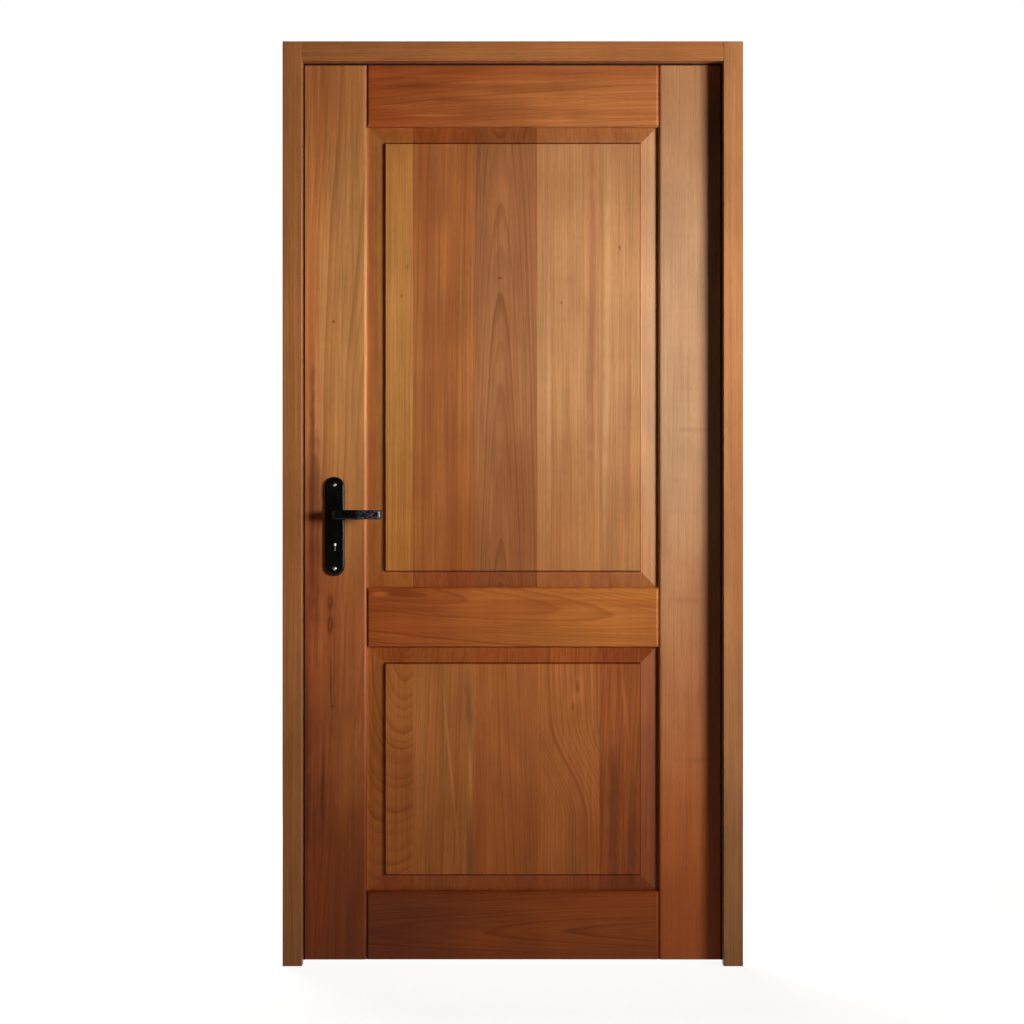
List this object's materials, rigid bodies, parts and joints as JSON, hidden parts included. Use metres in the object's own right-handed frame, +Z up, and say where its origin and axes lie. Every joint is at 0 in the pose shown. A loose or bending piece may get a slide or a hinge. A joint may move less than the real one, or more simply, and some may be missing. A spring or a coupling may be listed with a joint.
{
  "type": "solid wood door",
  "caption": "Solid timber panel door with raised panels, hung on butt hinges in a rebated frame, with black lever handles on long plates and a mortise lock.",
  "frame": {"origin": "on the floor under the middle of the leaf: mid width and mid thickness", "axes": "+Z up, +X towards the hinges, +Y through the leaf from the stop side to the side it opens to"},
  "size_m": [1.066, 0.164, 2.141],
  "materials": {
    "lock_stile_wood": "satin lacquer",
    "hinge_stile_wood": "satin lacquer",
    "top_rail_wood": "satin lacquer",
    "lock_rail_wood": "satin lacquer",
    "bottom_rail_wood": "satin lacquer",
    "upper_panel_board_1_wood": "satin lacquer",
    "upper_panel_board_2_wood": "satin lacquer",
    "upper_panel_board_3_wood": "satin lacquer",
    "upper_panel_board_4_wood": "satin lacquer",
    "upper_panel_board_5_wood": "satin lacquer",
    "lower_panel_board_1_wood": "satin lacquer",
    "lower_panel_board_2_wood": "satin lacquer",
    "lower_panel_board_3_wood": "satin lacquer",
    "lower_panel_board_4_wood": "satin lacquer",
    "lower_panel_board_5_wood": "satin lacquer",
    "lock_jamb_wood": "satin lacquer",
    "hinge_jamb_wood": "satin lacquer",
    "frame_head_wood": "satin lacquer",
    "black_handle": "satin black",
    "black_hinge": "satin black",
    "bright_bolt": "polished",
    "lock_steel": "brushed",
    "seal_rubber": "matt, dark brown"
  },
  "bodies": {
    "frame": {"lock_jamb": "lock_jamb_wood", "hinge_jamb": "hinge_jamb_wood", "frame_head": "frame_head_wood", "frame_seal": "seal_rubber", "strike_plate": "lock_steel", "strike_screws": "lock_steel", "lower_hinge_frame_flap": "black_hinge", "middle_hinge_frame_flap": "black_hinge", "upper_hinge_frame_flap": "black_hinge", "lower_hinge_pin": "black_hinge", "middle_hinge_pin": "black_hinge", "upper_hinge_pin": "black_hinge", "hinge_frame_screws": "black_hinge"},
    "leaf": {"lock_stile": "lock_stile_wood", "hinge_stile": "hinge_stile_wood", "top_rail": "top_rail_wood", "lock_rail": "lock_rail_wood", "bottom_rail": "bottom_rail_wood", "upper_panel_board_1": "upper_panel_board_1_wood", "upper_panel_board_2": "upper_panel_board_2_wood", "upper_panel_board_3": "upper_panel_board_3_wood", "upper_panel_board_4": "upper_panel_board_4_wood", "upper_panel_board_5": "upper_panel_board_5_wood", "lower_panel_board_1": "lower_panel_board_1_wood", "lower_panel_board_2": "lower_panel_board_2_wood", "lower_panel_board_3": "lower_panel_board_3_wood", "lower_panel_board_4": "lower_panel_board_4_wood", "lower_panel_board_5": "lower_panel_board_5_wood", "lower_hinge_leaf_flap": "black_hinge", "middle_hinge_leaf_flap": "black_hinge", "upper_hinge_leaf_flap": "black_hinge", "hinge_leaf_screws": "black_hinge", "front_plate": "black_handle", "rear_plate": "black_handle", "plate_bolts": "bright_bolt", "plate_sleeve_nuts": "bright_bolt", "lock_case": "lock_steel", "lock_cover": "lock_steel", "lock_cover_screws": "lock_steel", "lock_forend": "lock_steel", "forend_screws": "lock_steel", "hub_spring": "lock_steel", "latch_spring": "lock_steel", "deadbolt_spring": "lock_steel"},
    "handle": {"front_lever": "black_handle", "rear_lever": "black_handle", "spindle": "lock_steel", "lever_clips": "lock_steel", "lever_grub_screws": "lock_steel", "lock_hub": "lock_steel"},
    "latch": {"latch_bolt": "lock_steel"},
    "bolt": {"deadbolt": "lock_steel"}
  },
  "joints": [
    {"name": "leaf_swing", "type": "hinge", "parent": "frame", "child": "leaf", "pos_m": [0.5015, 0.0293, 0], "axis": [0, 0, -1], "range_deg": [0, 170]},
    {"name": "handle_turn", "type": "hinge", "parent": "leaf", "child": "handle", "pos_m": [-0.415, 0, 1.045], "axis": [0, 1, 0], "range_deg": [0, 45], "stiffness_Nm_per_rad": 1.2, "springref_deg": -34.38, "deforming": ["hub_spring"]},
    {"name": "latch_slide", "type": "slide", "parent": "leaf", "child": "latch", "axis": [1, 0, 0], "range_m": [0, 0.0115], "deforming": ["latch_spring"]},
    {"name": "deadbolt_throw", "type": "slide", "parent": "leaf", "child": "bolt", "axis": [-1, 0, 0], "range_m": [0, 0.02]}
  ],
  "couplings": [
    {"joint": "latch_slide", "follows": "handle_turn", "m_per_rad": 0.0146}
  ]
}
